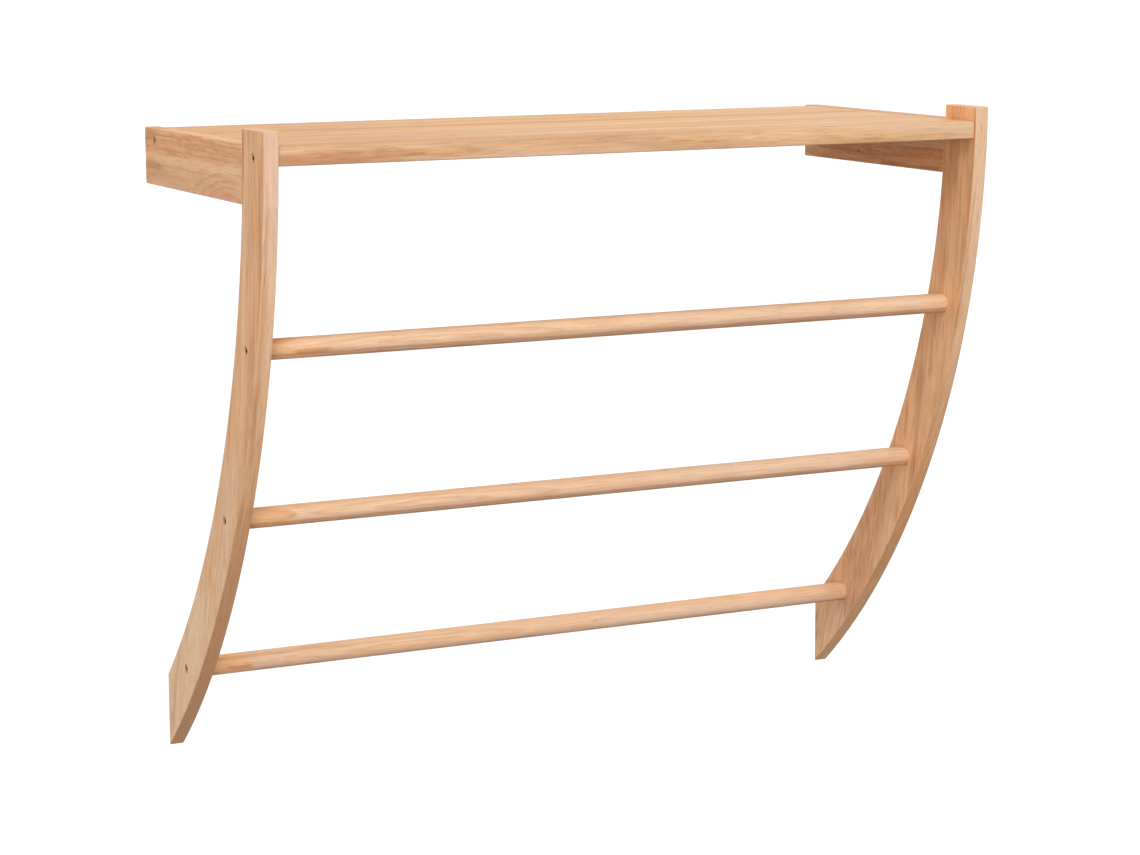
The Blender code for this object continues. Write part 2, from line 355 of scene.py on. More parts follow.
def nearness(tree, place, centre, reach):
    """1 at a centre, 0 at its reach and below 0 beyond."""
    off = reckon(tree, "ABSOLUTE", reaches_off(tree, place, centre, reach))
    return reckon(tree, "SUBTRACT", 1.0, off)


def growth_rings_group():
    """Growth rings about the grain's own axis, which wander and run out along it."""
    tree, given, result = new_group(
        "Growth rings",
        [("Vector", "Vector", None), ("Spacing", "Float", 0.006), ("Taper", "Float", 0.02),
         ("Wander", "Float", 0.008)],
        [("Late wood", "Float"), ("Ring tone", "Float")])
    bend = drift(tree, stretched(tree, given["Vector"], length=0.22, width=0.045), detail=2.5)
    bend = put(
        tree, "ShaderNodeVectorMath", {0: bend, "Scale": given["Wander"]}, operation="SCALE").outputs[0]
    parts = put(tree, "ShaderNodeSeparateXYZ", {
        "Vector": reckon_vector(tree, "ADD", given["Vector"], bend)}).outputs
    across = put(tree, "ShaderNodeCombineXYZ", {"Y": parts["Y"], "Z": parts["Z"]}).outputs[0]
    runout = reckon(tree, "MULTIPLY", parts["X"], given["Taper"])
    radius = reckon(tree, "ADD", length_of(tree, across), runout)
    ring = reckon(tree, "DIVIDE", radius, given["Spacing"])
    uneven = reckon(tree, "MULTIPLY_ADD", noise_along(tree, ring, scale=0.55), RING_CHANGE, ring)
    late = late_lines(tree, uneven, steepness=1.5, crest=0.78)
    gaps = noise(tree, stretched(tree, given["Vector"], length=0.045, width=0.007), detail=2.0, roughness=0.6)
    kept = remap(tree, gaps[0], 0.34, 0.58, 0.25, 1.0, smooth=True)
    give(tree, result, "Late wood", reckon(tree, "MULTIPLY", late, kept))
    give(tree, result, "Ring tone", remap(tree, noise_along(tree, ring, scale=0.21), 0.3, 0.7, smooth=True))
    return tree


def fibres_group():
    """Fine fibres and coarser strands that run along the grain."""
    tree, given, result = new_group(
        "Wood fibres",
        [("Vector", "Vector", None), ("Width", "Float", 0.0011), ("Length", "Float", 0.03)],
        [("Fine", "Float"), ("Coarse", "Float")])
    fine = stretched(tree, given["Vector"], given["Length"], given["Width"])
    give(tree, result, "Fine", remap(tree, noise(tree, fine, detail=2.0, roughness=0.55)[0], 0.28, 0.72))
    strand_length = reckon(tree, "MULTIPLY", given["Length"], STRAND_LENGTH)
    strand_width = reckon(tree, "MULTIPLY", given["Width"], STRAND_WIDTH)
    coarse = stretched(tree, given["Vector"], strand_length, strand_width)
    give(tree, result, "Coarse", remap(tree, noise(tree, coarse, detail=1.5)[0], 0.3, 0.7))
    return tree


def pores_group():
    """Short open pores."""
    tree, given, result = new_group(
        "Open pores",
        [("Vector", "Vector", None), ("Width", "Float", 0.0005), ("Length", "Float", 0.005),
         ("Density", "Float", 0.5)],
        [("Mask", "Float")])
    cells = noise(
        tree, stretched(tree, given["Vector"], given["Length"], given["Width"]), detail=1.0, roughness=0.4)
    mask = spots(tree, cells[0], given["Density"], sparse=0.70, dense=0.56, softness=0.08)
    give(tree, result, "Mask", mask)
    return tree


def patches_group():
    """Broad, soft changes of tone, longer along the grain than across it."""
    tree, given, result = new_group(
        "Tone patches",
        [("Vector", "Vector", None), ("Width", "Float", 0.013), ("Length", "Float", 0.11),
         ("Spread", "Float", 0.5)],
        [("Mask", "Float"), ("Pale", "Float")])
    broad = noise(
        tree, stretched(tree, given["Vector"], given["Length"], given["Width"]), detail=2.0, distortion=0.3)
    mask = spots(tree, broad[0], given["Spread"], sparse=0.60, dense=0.36, softness=0.26)
    give(tree, result, "Mask", mask)
    give(tree, result, "Pale", remap(tree, broad[0], 0.30, 0.48, 1.0, 0.0, smooth=True))
    return tree


# Inputs that place a mark on a piece, shared by streaks and flames
MARK_INPUTS = [
    ("Vector", "Vector", None), ("Across", "Float", 0.0), ("Along", "Float", 0.0), ("Centre", "Float", 0.0),
    ("Half width", "Float", 0.003), ("Middle", "Float", 0.0), ("Half length", "Float", 0.05)]


def streak_group():
    """One long soft streak with ragged, wavy sides that fades out at both ends."""
    tree, given, result = new_group("Long streak", MARK_INPUTS, [("Mask", "Float")])
    waves = reckon(tree, "DIVIDE", given["Along"], STREAK_WAVE)
    wave = reckon(tree, "SUBTRACT", noise_along(tree, waves, scale=1.0), 0.5)
    splinters = stretched(tree, given["Vector"], length=0.035, width=0.003)
    ragged = reckon(tree, "SUBTRACT", noise(tree, splinters, detail=2.0, roughness=0.6)[0], 0.5)
    place = reckon(tree, "ADD", given["Across"], reckon(tree, "MULTIPLY", wave, given["Half width"]))
    side = nearness(tree, place, given["Centre"], given["Half width"])
    end = nearness(tree, given["Along"], given["Middle"], given["Half length"])
    body = remap(tree, reckon(tree, "ADD", ragged, side), 0.0, 0.70, smooth=True)
    ends = remap(tree, reckon(tree, "ADD", ragged, end), 0.0, 0.45, smooth=True)
    give(tree, result, "Mask", reckon(tree, "MULTIPLY", body, ends))
    return tree


def flame_group():
    """Nested arches of a growth ring that the saw has only grazed, also used small as a knot."""
    tree, given, result = new_group(
        "Flame figure", MARK_INPUTS + [("Arches", "Float", 4.0)],
        [("Mask", "Float"), ("Late wood", "Float"), ("Core", "Float")])
    sway = drift(tree, stretched(tree, given["Vector"], length=0.060, width=0.016), detail=1.5)
    shifts = put(tree, "ShaderNodeSeparateXYZ", {"Vector": sway}).outputs
    along = reaches_off(tree, given["Along"], given["Middle"], given["Half length"])
    across = reaches_off(tree, given["Across"], given["Centre"], given["Half width"])
    place = put(tree, "ShaderNodeCombineXYZ", {
        "X": reckon(tree, "MULTIPLY_ADD", shifts["X"], ARCH_CHANGE, along),
        "Y": reckon(tree, "MULTIPLY_ADD", shifts["Y"], ARCH_CHANGE, across)}).outputs[0]
    radius = length_of(tree, place)
    late = late_lines(tree, reckon(tree, "MULTIPLY", radius, given["Arches"]), steepness=1.7, crest=0.80)
    give(tree, result, "Mask", remap(tree, radius, 0.75, 1.05, 1.0, 0.0, smooth=True))
    give(tree, result, "Late wood", late)
    give(tree, result, "Core", remap(tree, radius, 0.05, 0.35, 1.0, 0.0, smooth=True))
    return tree


def worn_edges_group():
    """Marks each outer edge: on the wood for a pale line that is partly rubbed wear and partly a painted
    highlight, on the screws for rubbed steel.
    """
    tree, given, result = new_group("Worn edges", [("Width", "Float", 0.0012)], [("Mask", "Float")])
    rounded = put(tree, "ShaderNodeBevel", {"Radius": given["Width"]}, samples=6)
    plain = put(tree, "ShaderNodeNewGeometry")
    turned = put(tree, "ShaderNodeVectorMath", {0: rounded.outputs[0], 1: plain.outputs["Normal"]},
                 operation="DOT_PRODUCT")
    give(tree, result, "Mask", remap(tree, turned.outputs["Value"], 0.995, 0.90))
    return tree


GROUP_MAKERS = {
    "Growth rings": growth_rings_group,
    "Wood fibres": fibres_group,
    "Open pores": pores_group,
    "Tone patches": patches_group,
    "Long streak": streak_group,
    "Flame figure": flame_group,
    "Worn edges": worn_edges_group,
}


def place_group(tree, name, inputs):
    """Outputs of a shared group placed in a material, made the first time that it is asked for."""
    group = bpy.data.node_groups.get(name) or GROUP_MAKERS[name]()
    return put(tree, "ShaderNodeGroup", inputs, node_tree=group).outputs


def blank_material(name):
    """A new material and its node tree, emptied."""
    material = bpy.data.materials.new(name)
    material.use_nodes = True
    tree = material.node_tree
    tree.nodes.clear()
    return material, tree


def streak(tint, strength, faces, centre, half_width, middle, half_length, flecked=False):
    """A long streak: its centre lies across the grain and its middle along it, from the part's origin."""
    return dict(tint=tint, strength=strength, faces=faces, centre=centre, half_width=half_width,
                middle=middle, half_length=half_length, flecked=flecked)


def flame(tint, strength, faces, centre, half_width, middle, half_length, arches, core=0.0):
    """Nested arches, placed as a streak is, with a knot in their middle if they have a core."""
    return dict(tint=tint, strength=strength, faces=faces, centre=centre, half_width=half_width,
                middle=middle, half_length=half_length, arches=arches, core=core)


# Values of a cut that a piece keeps unless its own cut names them
PLAIN_CUT = dict(
    slope=(0.0, 0.0), sweep=(0.0, 0.0), coarse=1.0, strands=0.42, edge_sapwood_and_sheen=0.0, tints=("pale", "tan"),
    streaks=[], flames=[])

# How each board lies in its log, and the marks laid over its figure.
# pith: the growth rings' centre, from the part's origin, through the thickness and across the width.
# slope: turns of the grain out of its own axis, in degrees. taper: how fast the rings run out along it.
# spacing, wander and rings: how wide, how uneven and how strong the growth rings are.
# tone: how much of the piece the broad brown patches cover. seed: where along the log it was cut.
# sway: how far the grain wanders, and over what length.
# sweep: how the grain bends across the width, per metre, and where along the board the bend starts.
# stripes: width, length and strength of the stripes of late wood. pores: how close the pores stand.
# coarse: how many times wider than usual the fibres are. strands: strength of their bundles.
# edge_sapwood_and_sheen: strength of the sapwood on the edges, partly paler wood and partly a painted sheen
# on the front faces.
# tints: colours of the early and the late wood.
# flames and streaks: marks laid over all of that, the flames first, each list in its own order.
BOARD_CUTS = {
    "left_post": dict(
        pith=(-0.310, -0.150), slope=(0.0, 0.4), taper=0.040, spacing=0.0080, wander=0.014, rings=0.75,
        tone=0.30, seed=3.1, sway=(0.006, 0.110), sweep=(0.34, 0.040), stripes=(0.0065, 0.110, 0.50),
        pores=0.20, strands=0.50, edge_sapwood_and_sheen=0.45,
        streaks=[
            streak("sapwood", 0.75, "edge", -POST_CENTRE, WHOLE_EDGE, 0.010, 0.130),
            streak("bar_pale", 0.40, "edge", -0.3400, 0.0055, -0.120, 0.080),
            streak("brown", 0.30, "edge", -0.3475, 0.0022, -0.100, 0.140),
            streak("brown", 0.22, "edge", -0.3400, 0.0035, -0.270, 0.070),
            streak("brown", 0.40, "edge", -0.3460, 0.0030, -0.210, 0.050),
            streak("brown", 0.48, "edge", -POST_CENTRE, WHOLE_EDGE, -0.430, 0.190),
            # Painted shade: a dark line on the post where the arm's front end meets it
            streak("brown", 1.00, "broad", -0.2508, 0.0042, 0.004, 0.045),
            streak("brown", 0.60, "broad", -0.2910, 0.0050, -0.060, 0.090),
            streak("blush", 0.20, "broad", -0.2860, 0.0100, -0.060, 0.110),
            streak("brown", 0.60, "broad", -0.2990, 0.0040, -0.020, 0.070),
            streak("brown", 0.34, "broad", -0.2740, 0.0110, -0.200, 0.090),
            streak("brown", 0.42, "broad", -0.2285, 0.0042, -0.220, 0.045),
            streak("sapwood", 0.30, "broad", -0.2610, 0.0035, -0.020, 0.060),
            streak("petal", 0.55, "edge", -POST_CENTRE, WHOLE_EDGE, 0.000, 0.032),
            streak("bar_pale", 0.26, "broad", -0.1900, 0.0500, -0.415, 0.050),
            streak("pale", 0.60, "broad", -0.2560, 0.0050, -0.080, 0.170),
            streak("sapwood", 0.34, "broad", -0.2520, 0.0065, -0.070, 0.090),
            streak("sapwood", 0.45, "broad", -0.2350, 0.0240, -0.330, 0.110),
            streak("brown", 0.66, "broad", -0.2050, 0.0550, -0.350, 0.130, flecked=True),
            streak("straw", 0.30, "broad", -0.2000, 0.0600, -0.350, 0.130),
            streak("blush", 0.55, "broad", -0.1995, 0.0045, -0.359, 0.016),
            streak("blush", 0.35, "broad", -0.1960, 0.0014, -0.368, 0.012),
            streak("brown", 0.40, "broad", -0.2040, 0.0014, -0.356, 0.010),
            streak("blush", 0.45, "broad", -0.1900, 0.0035, -0.378, 0.014),
            streak("straw", 0.80, "broad", -0.1600, 0.0600, -0.470, 0.130),
            streak("brown", 0.46, "broad", -0.1400, 0.0550, -0.470, 0.090, flecked=True),
            streak("brown", 0.35, "broad", -0.1390, 0.0045, -0.480, 0.060),
        ]),
    "right_post": dict(
        pith=(0.330, -0.330), slope=(0.0, -0.8), taper=0.050, spacing=0.0080, wander=0.020, rings=0.60,
        tone=0.50, seed=7.7, sway=(0.005, 0.070), sweep=(0.26, 0.040), stripes=(0.0060, 0.060, 0.75),
        pores=0.24, strands=0.22, edge_sapwood_and_sheen=0.15, tints=("amber_pale", "amber_tan"),
        streaks=[
            streak("bar_pale", 0.70, "edge", POST_CENTRE, WHOLE_EDGE, 0.010, 0.120),
            streak("bar_pale", 0.45, "edge", POST_CENTRE, WHOLE_EDGE, -0.060, 0.060),
            streak("bar_pale", 0.46, "edge", 0.3455, 0.0070, -0.180, 0.090),
            streak("bar_pale", 0.45, "edge", POST_CENTRE, WHOLE_EDGE, -0.122, 0.030),
            streak("brown", 0.32, "edge", 0.3382, 0.0025, -0.105, 0.100),
            streak("amber_pale", 0.78, "edge", POST_CENTRE, WHOLE_EDGE, -0.480, 0.240),
            streak("brown", 0.30, "edge", POST_CENTRE, WHOLE_EDGE, -0.370, 0.080),
            streak("brown", 0.28, "edge", POST_CENTRE, WHOLE_EDGE, -0.350, 0.150, flecked=True),
            streak("brown", 0.15, "broad", -0.2700, 0.0400, -0.020, 0.060),
            streak("brown", 0.22, "broad", -0.2890, 0.0060, -0.090, 0.080),
            # Painted light: lightens the post's front half just under the shelf, where the shelf's shadow
            # falls
            streak("orange", 0.62, "broad", -0.2820, 0.0100, -0.035, 0.034),
            streak("orange", 0.30, "broad", -0.2780, 0.0160, -0.045, 0.060),
            streak("brown", 0.34, "broad", -0.2600, 0.0300, -0.200, 0.260, flecked=True),
            streak("orange", 0.40, "broad", -0.2575, 0.0075, -0.205, 0.040),
            streak("brown", 0.42, "broad", -0.2350, 0.0060, -0.270, 0.080),
            streak("pale", 0.65, "broad", -0.2720, 0.0035, -0.200, 0.080),
            streak("brown", 0.18, "broad", -0.2545, 0.0075, -0.075, 0.080),
            streak("pale", 0.75, "broad", -0.2705, 0.0050, -0.095, 0.050),
            streak("sapwood", 0.10, "broad", -0.2500, 0.0400, -0.260, 0.140),
            streak("amber_pale", 0.70, "broad", -0.2700, 0.0070, -0.110, 0.070),
            streak("brown", 0.40, "broad", -0.2790, 0.0014, -0.060, 0.040),
            streak("brown", 0.95, "broad", -0.1650, 0.0400, -0.415, 0.120, flecked=True),
            streak("brown", 0.24, "broad", -0.1620, 0.0240, -0.420, 0.070),
            streak("bar_pale", 0.34, "broad", -0.2050, 0.0120, -0.365, 0.050),
            streak("sapwood", 0.40, "broad", -0.1400, 0.0600, -0.500, 0.080),
            streak("rose", 0.24, "broad", -0.1750, 0.0500, -0.400, 0.100),
            streak("brown", 0.55, "broad", -0.1070, 0.0400, -0.500, 0.080, flecked=True),
            streak("brown", 0.12, "broad", -0.1500, 0.0450, -0.435, 0.045),
            streak("brown", 0.45, "broad", -0.2650, 0.0200, 0.040, 0.026),
            streak("bar_pale", 0.30, "broad", -0.2900, 0.0040, 0.036, 0.024),
            streak("pale", 0.50, "broad", -0.2560, 0.0050, 0.000, 0.024),
            streak("bar_pale", 0.40, "broad", -0.2915, 0.0040, 0.000, 0.020),
            streak("brown", 0.40, "broad", -0.2700, 0.0065, -0.008, 0.040),
            streak("amber_pale", 0.40, "broad", -0.2640, 0.0085, -0.095, 0.055),
            streak("brown", 0.26, "broad", -0.2492, 0.0028, -0.160, 0.026),
            streak("pale", 0.34, "broad", -0.2400, 0.0045, -0.160, 0.028),
            streak("brown", 0.30, "broad", -0.2470, 0.0030, -0.202, 0.022),
            streak("brown", 0.28, "broad", -0.1945, 0.0032, -0.352, 0.036),
            streak("brown", 0.18, "broad", -0.1930, 0.0220, -0.355, 0.060),
        ]),
    "left_arm": dict(
        pith=(-0.330, -0.030), slope=(0.0, 0.4), taper=0.060, spacing=0.0050, wander=0.010, rings=0.50,
        tone=0.35, seed=12.4, sway=(0.006, 0.090), stripes=(0.0040, 0.060, 0.45), pores=0.12, strands=0.52,
        tints=("amber_pale", "amber_tan"),
        streaks=[
            streak("brown", 0.14, "broad", 0.0150, 0.0130, -0.120, 0.260),
            streak("brown", 0.36, "broad", 0.0140, 0.0170, -0.120, 0.260, flecked=True),
            streak("brown", 0.34, "broad", 0.0205, 0.0014, -0.130, 0.160),
            streak("brown", 0.38, "broad", 0.0165, 0.0012, -0.090, 0.130),
            streak("brown", 0.30, "broad", 0.0125, 0.0015, -0.190, 0.090),
            streak("brown", 0.22, "broad", 0.0080, 0.0012, -0.150, 0.150),
            streak("brown", 0.35, "broad", -0.0060, 0.0014, -0.150, 0.110),
            streak("brown", 0.45, "broad", 0.0190, 0.0080, -0.005, 0.028),
            streak("pale", 0.78, "broad", 0.0005, 0.0048, -0.120, 0.170),
            streak("straw", 0.32, "broad", -0.0150, 0.0150, -0.130, 0.220),
            streak("brown", 0.30, "broad", -0.0180, 0.0140, -0.130, 0.180),
            streak("brown", 0.26, "broad", -0.0150, 0.0150, -0.005, 0.055),
            streak("brown", 0.24, "broad", -0.0065, 0.0050, -0.078, 0.040),
            streak("pale", 0.45, "broad", -0.0160, 0.0120, -0.252, 0.026),
            streak("rose", 0.30, "broad", -0.0220, 0.0060, -0.140, 0.150),
            streak("straw", 0.34, "broad", 0.0020, 0.0090, -0.225, 0.040),
            streak("straw", 0.20, "broad", -0.0010, 0.0060, -0.120, 0.100),
            streak("blush", 0.65, "broad", -0.0205, 0.0030, -0.180, 0.014),
            streak("blush", 0.65, "broad", -0.0190, 0.0032, -0.206, 0.014),
            streak("blush", 0.55, "broad", -0.0215, 0.0028, -0.222, 0.010),
            streak("brown", 0.50, "broad", -0.0080, 0.0050, -0.020, 0.026),
            streak("brown", 0.45, "edge", -POST_CENTRE, WHOLE_EDGE, -0.010, 0.035),
            streak("brown", 0.12, "broad", -0.0215, 0.0055, -0.228, 0.028),
        ],
        flames=[flame("brown", 0.28, "broad", -0.0290, 0.0290, -0.080, 0.075, 1.4),
                flame("brown", 0.90, "broad", -0.0310, 0.0370, -0.220, 0.120, 6.0)]),
    "right_arm": dict(
        pith=(0.300, 0.050), slope=(0.0, 1.5), taper=0.060, spacing=0.0055, wander=0.012, rings=0.60,
        tone=0.40, seed=21.9, sway=(0.008, 0.080), stripes=(0.0050, 0.060, 0.75), pores=0.75, strands=0.90,
        tints=("amber_pale", "amber_tan"),
        streaks=[
            streak("brown", 0.12, "broad", 0.0, WHOLE_ARM, -0.125, 0.300),
            streak("brown", 0.32, "broad", 0.0, WHOLE_ARM, -0.153, 0.011),
            streak("brown", 0.16, "broad", 0.0, WHOLE_ARM, -0.212, 0.070),
            streak("brown", 0.20, "broad", -0.0100, 0.0200, -0.215, 0.050),
            streak("brown", 0.80, "broad", 0.0, WHOLE_ARM, -0.150, 0.220, flecked=True),
            streak("brown", 0.12, "broad", -0.0170, 0.0060, -0.200, 0.070),
            streak("bar_pale", 0.34, "broad", -0.0030, 0.0050, -0.128, 0.016),
            streak("blush", 0.32, "broad", -0.0120, 0.0300, -0.170, 0.160),
            # Painted light: lightens the upper part of the arm's inner face, which lies in the shelf's shadow
            streak("bar_pale", 0.40, "broad", 0.0010, 0.0080, -0.190, 0.100),
            streak("orange", 0.20, "broad", -0.0180, 0.0070, -0.190, 0.070),
            # Painted shade: this dark line and the one at -0.0235 below run along the arm's lower edge
            streak("brown", 0.70, "broad", -0.0225, 0.0030, -0.200, 0.060),
            streak("brown", 0.60, "broad", -0.0060, 0.0014, -0.210, 0.050),
            streak("brown", 0.55, "broad", -0.0130, 0.0012, -0.180, 0.050),
            streak("brown", 0.70, "broad", -0.0235, 0.0045, -0.158, 0.022),
            streak("brown", 0.40, "broad", -0.0150, 0.0030, -0.100, 0.060),
        ],
        flames=[flame("brown", 0.50, "broad", -0.0132, 0.0085, -0.101, 0.016, 1.2, core=0.90)]),
    "shelf": dict(
        pith=(-0.090, -0.120), slope=(0.3, 0.0), taper=0.020, spacing=0.0170, wander=0.022, rings=1.00,
        tone=0.20, seed=33.3, sway=(0.004, 0.200), stripes=(0.0140, 0.600, 1.00), pores=0.10, coarse=2.2,
        edge_sapwood_and_sheen=0.65, tints=("shelf_pale", "shelf_tan"),
        streaks=[
            streak("brown", 0.60, "edge", 0.0120, 0.0100, -0.300, 0.090),
            streak("brown", 0.55, "edge", 0.0150, 0.0085, -0.230, 0.120, flecked=True),
            streak("brown", 0.34, "edge", 0.0165, 0.0075, 0.060, 0.200, flecked=True),
            streak("brown", 0.28, "edge", 0.0150, 0.0060, 0.250, 0.100, flecked=True),
            streak("bar_pale", 0.34, "edge", 0.0190, 0.0080, 0.240, 0.200),
            streak("brown", 0.26, "edge", 0.0110, 0.0045, 0.170, 0.110),
            streak("brown", 0.24, "edge", 0.0210, 0.0040, -0.045, 0.060),
            streak("rose", 0.42, "edge", 0.0150, 0.0160, -0.080, 0.130),
            streak("rose", 0.50, "edge", 0.0110, 0.0040, -0.030, 0.210),
            streak("petal", 0.34, "edge", 0.0110, 0.0040, -0.100, 0.050),
            streak("petal", 0.26, "edge", 0.0110, 0.0035, 0.150, 0.040),
            streak("orange", 0.45, "edge", 0.0220, 0.0050, 0.160, 0.100),
            streak("blush", 0.20, "edge", 0.0200, 0.0060, -0.290, 0.050),
            streak("brown", 0.20, "edge", 0.0130, 0.0060, 0.040, 0.060),
            streak("brown", 0.26, "edge", 0.0165, 0.0035, -0.200, 0.060),
            streak("brown", 0.24, "edge", 0.0238, 0.0022, -0.120, 0.300),
            streak("brown", 0.34, "broad", -0.2860, 0.0280, -0.170, 0.290),
            streak("brown", 0.24, "broad", -0.1120, 0.0150, 0.050, 0.420),
            streak("bar_pale", 0.30, "broad", -0.1600, 0.0170, 0.080, 0.380),
            streak("bar_pale", 0.34, "broad", -0.2480, 0.0180, 0.120, 0.300),
            streak("bar_pale", 0.34, "broad", -0.0330, 0.0140, 0.260, 0.160),
            streak("amber_tan", 0.26, "broad", -SHELF_CENTRE, WHOLE_SHELF, -0.300, 0.220),
            streak("sapwood", 0.20, "broad", -SHELF_CENTRE, WHOLE_SHELF, 0.330, 0.180),
            streak("honey", 0.35, "broad", -0.0900, 0.0650, 0.0, END_TO_END),
            streak("honey", 0.16, "broad", -0.1250, 0.0300, 0.0, END_TO_END),
            streak("honey", 0.15, "broad", -SHELF_CENTRE, WHOLE_SHELF, -0.040, 0.220),
            streak("honey", 0.34, "broad", -0.1250, 0.0500, -0.330, 0.090),
            streak("brown", 0.16, "broad", -0.1080, 0.0190, 0.0, END_TO_END),
            streak("brown", 0.16, "broad", -0.1050, 0.0400, -0.300, 0.150),
            streak("brown", 0.14, "broad", -0.1850, 0.0080, -0.300, 0.130),
            streak("bar_pale", 0.22, "broad", -0.1640, 0.0090, -0.300, 0.130),
            streak("brown", 0.20, "broad", -0.0250, 0.0150, -0.100, 0.290),
            streak("brown", 0.16, "broad", -0.2150, 0.0110, -0.150, 0.330),
            streak("rose", 0.30, "broad", -0.2150, 0.0400, -0.090, 0.160),
            streak("brown", 0.28, "broad", -0.1950, 0.0050, 0.060, 0.350),
            streak("brown", 0.30, "broad", -0.1150, 0.0100, 0.050, 0.300),
            streak("brown", 0.25, "broad", -0.0650, 0.0120, -0.100, 0.300),
            streak("brown", 0.20, "broad", -0.2780, 0.0030, 0.020, 0.200),
        ],
        flames=[flame("tan", 0.40, "edge", 0.0160, 0.0090, -0.060, 0.170, 3.0),
                flame("tan", 0.35, "edge", 0.0130, 0.0080, 0.200, 0.130, 3.0)]),
}


# Each towel bar's cut, apart from its place in the log, and how far the pith lies in front of and below its
# axis
BAR_CUT = dict(
    taper=0.020, spacing=0.0080, wander=0.010, rings=1.00, tone=0.10, sway=(0.003, 0.120),
    stripes=(0.0060, 0.180, 0.45), pores=0.05, tints=("bar_pale", "bar_tan"))
BAR_PITH = (0.030, 0.022)

# The hidden dowels' cut
DOWEL_CUT = dict(
    pith=(0.0, -0.030), taper=0.0, spacing=0.0030, wander=0.003, rings=1.00, tone=0.10, seed=60.0,
    sway=(0.001, 0.030), stripes=(0.0020, 0.030, 0.30), pores=0.10)

# Streaks along every towel bar, their centres measured from the bar's own axis. The brown one along the
# underside is painted shade.
EVERY_BARS_STREAKS = [
    streak("orange", 0.30, "broad", 0.0078, 0.0024, 0.0, END_TO_END),
    # Painted shade: a dark line along the bar's underside
    streak("brown", 0.55, "broad", -0.0082, 0.0028, 0.0, END_TO_END),
    streak("petal", 0.34, "broad", -0.0032, 0.0046, 0.0, END_TO_END),
]

# Further marks of each towel bar, placed in the same way. The pale streaks at each bar's left end, about
# -0.338, are painted light where the left post shades the bar.
BAR_MARKS = {
    "bottom_bar": dict(
        streaks=[
            streak("brown", 0.30, "broad", 0.0066, 0.0020, -0.290, 0.110),
            streak("brown", 0.50, "broad", -0.0020, 0.0026, -0.301, 0.014),
            streak("blush", 0.12, "broad", 0.0, MOST_OF_BAR, -0.330, 0.045),
            streak("orange", 0.34, "broad", -0.0010, 0.0070, -0.090, 0.190),
            streak("bar_pale", 0.90, "broad", 0.0000, 0.0065, 0.160, 0.125),
            streak("orange", 0.34, "broad", 0.0062, 0.0034, 0.230, 0.100),
            streak("bar_pale", 0.30, "broad", 0.0, MOST_OF_BAR, -0.338, 0.014),
            streak("bar_pale", 0.40, "broad", 0.0010, 0.0040, -0.235, 0.032),
            streak("brown", 0.16, "broad", 0.0020, 0.0100, 0.332, 0.026),
        ],
        flames=[]),
    "middle_bar": dict(
        streaks=[
            streak("blush", 0.12, "broad", 0.0, MOST_OF_BAR, -0.330, 0.036),
            streak("bar_pale", 0.80, "broad", 0.0055, 0.0055, 0.205, 0.190),
            streak("sapwood", 0.26, "broad", 0.0035, 0.0060, 0.205, 0.190),
            streak("bar_pale", 0.50, "broad", 0.0030, 0.0100, -0.338, 0.014),
            streak("bar_pale", 0.25, "broad", 0.0060, 0.0045, -0.220, 0.045),
            streak("tan", 0.50, "broad", -0.0046, 0.0018, 0.0, END_TO_END),
            streak("tan", 0.18, "broad", -0.0022, 0.0030, -0.120, 0.130),
            streak("brown", 0.25, "broad", -0.0070, 0.0022, -0.315, 0.030),
        ],
        flames=[flame("brown", 0.95, "broad", 0.0010, 0.0125, -0.3365, 0.062, 1.25)]),
    "top_bar": dict(
        streaks=[
            streak("blush", 0.50, "broad", 0.0072, 0.0034, -0.326, 0.020),
            streak("blush", 0.12, "broad", 0.0, MOST_OF_BAR, -0.338, 0.014),
            streak("bar_pale", 0.50, "broad", 0.0060, 0.0045, 0.085, 0.100),
            streak("sapwood", 0.26, "broad", 0.0040, 0.0050, 0.130, 0.090),
            streak("bar_pale", 0.50, "broad", 0.0050, 0.0060, 0.290, 0.070),
            streak("bar_pale", 0.40, "broad", 0.0050, 0.0035, -0.300, 0.022),
            streak("bar_pale", 0.30, "broad", 0.0, MOST_OF_BAR, -0.338, 0.012),
            streak("tan", 0.55, "broad", -0.0046, 0.0018, 0.0, END_TO_END),
            streak("tan", 0.18, "broad", -0.0015, 0.0035, -0.050, 0.150),
            streak("brown", 0.50, "broad", -0.0022, 0.0030, -0.293, 0.020),
        ],
        flames=[]),
}


def grain_coordinates(tree, axes):
    """The piece's own coordinates in the order (along the grain, across, across)."""
    own = put(tree, "ShaderNodeTexCoord").outputs["Object"]
    parts = put(tree, "ShaderNodeSeparateXYZ", {"Vector": own}).outputs
    along, first, second = axes
    ordered = {"X": parts[along], "Y": parts[first], "Z": parts[second]}
    return put(tree, "ShaderNodeCombineXYZ", ordered).outputs[0]


def swayed(tree, vector, amount, length):
    """Coordinates that drift across the grain, so that all the lines of a board wander alike."""
    slow = drift(tree, stretched(tree, vector, length, length / 4), detail=1.5)
    return reckon_vector(tree, "ADD", vector, reckon_vector(tree, "MULTIPLY", slow, (0.0, amount, amount)))


def swept(tree, vector, bend, start):
    """Coordinates whose grain bends across the width, ever more steeply away from its start."""
    along = put(tree, "ShaderNodeSeparateXYZ", {"Vector": vector}).outputs["X"]
    away = reckon(tree, "SUBTRACT", along, start)
    offset = reckon(tree, "MULTIPLY", reckon(tree, "MULTIPLY", away, away), -bend)
    return reckon_vector(tree, "ADD", vector, put(tree, "ShaderNodeCombineXYZ", {"Z": offset}).outputs[0])


